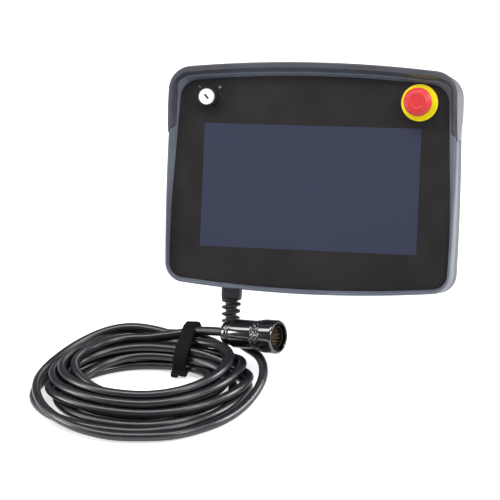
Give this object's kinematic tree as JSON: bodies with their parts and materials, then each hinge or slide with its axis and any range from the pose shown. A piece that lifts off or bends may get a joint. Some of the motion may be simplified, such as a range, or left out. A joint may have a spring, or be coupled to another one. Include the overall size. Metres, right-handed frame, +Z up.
{
  "type": "touch screen operator panel",
  "caption": "Handheld touch screen operator panel with emergency stop, key switch, rear enabling switch and a tied, coiled cable ending in a circular connector.",
  "frame": {"origin": "centre of the four rear mounting inserts, on the panel's rear face", "axes": "+X to the right seen from the front, +Z up, the screen faces -Y and leans back by 22 degrees"},
  "size_m": [0.4345, 0.2963, 0.3072],
  "materials": {
    "bezel_grey": "satin",
    "hood_grey": "satin",
    "overlay_black": "satin",
    "screen_glass": "gloss",
    "gasket_rubber": "matte",
    "display_steel": "satin",
    "sheet_steel": "satin",
    "screw_steel": "satin",
    "insert_brass": "satin",
    "board_green": "satin",
    "chip_black": "matte",
    "sink_aluminium": "satin",
    "housing_grey": "satin",
    "legend_yellow": "satin",
    "collar_black": "satin",
    "nut_plastic": "matte",
    "contact_plastic": "satin",
    "spring_steel": "satin",
    "estop_red": "satin",
    "key_chrome": "gloss",
    "switch_black": "satin",
    "button_grey": "satin",
    "gland_plastic": "satin",
    "relief_rubber": "satin",
    "cable_rubber": "satin",
    "tie_fabric": "matte",
    "connector_chrome": "gloss",
    "ring_chrome": "gloss",
    "insert_black": "satin",
    "pin_gold": "gloss"
  },
  "bodies": {
    "panel": {"front_bezel": "bezel_grey", "hood": "hood_grey", "front_overlay": "overlay_black", "touch_panel": "screen_glass", "display_gasket": "gasket_rubber", "lcd_module": "display_steel", "mounting_plate": "sheet_steel", "plate_screws": "screw_steel", "board_standoffs": "insert_brass", "main_board": "board_green", "board_chips": "chip_black", "heat_sink": "sink_aluminium", "housing_gasket": "gasket_rubber", "rear_housing": "housing_grey", "housing_screws": "screw_steel", "mount_inserts": "insert_brass", "estop_legend_ring": "legend_yellow", "estop_collar": "collar_black", "device_nuts": "nut_plastic", "estop_contact_block": "contact_plastic", "estop_spring": "spring_steel", "key_collar": "collar_black", "key_switch_body": "contact_plastic", "enable_switch_body": "switch_black", "cable_gland": "gland_plastic", "bend_relief": "relief_rubber", "cable_lead": "cable_rubber", "cable_coil": "cable_rubber", "cable_tail": "cable_rubber", "cable_tie": "tie_fabric", "connector_rear_nut": "connector_chrome", "connector_barrel": "connector_chrome", "connector_insert": "insert_black", "connector_pins": "pin_gold"},
    "estop_plunger": {"estop_stem": "contact_plastic"},
    "estop_button": {"estop_head": "estop_red"},
    "key_rotor": {"key_barrel": "key_chrome", "key_cam": "contact_plastic"},
    "enable_button": {"enable_switch_button": "button_grey"},
    "coupling": {"coupling_ring": "ring_chrome"}
  },
  "joints": [
    {"name": "estop_push", "type": "slide", "parent": "panel", "child": "estop_plunger", "axis": [0, 0.9272, -0.3746], "range_m": [0, 0.0045], "stiffness_N_per_m": 2000, "deforming": ["estop_spring"]},
    {"name": "estop_release", "type": "hinge", "parent": "estop_plunger", "child": "estop_button", "pos_m": [0.1085, -0.03229, 0.0976], "axis": [0, 0.9272, -0.3746], "range_deg": [0, 45], "stiffness_Nm_per_rad": 0.05},
    {"name": "key_turn", "type": "hinge", "parent": "panel", "child": "key_rotor", "pos_m": [-0.1075, -0.0294, 0.09676], "axis": [0, 0.9272, -0.3746], "range_deg": [0, 90]},
    {"name": "enable_press", "type": "slide", "parent": "panel", "child": "enable_button", "axis": [0, -0.9272, 0.3746], "range_m": [0, 0.004], "stiffness_N_per_m": 1500},
    {"name": "coupling_turn", "type": "hinge", "parent": "panel", "child": "coupling", "pos_m": [-0.03953, -0.10677, -0.13034], "axis": [0.9455, -0.3054, 0.1132], "continuous": true}
  ]
}
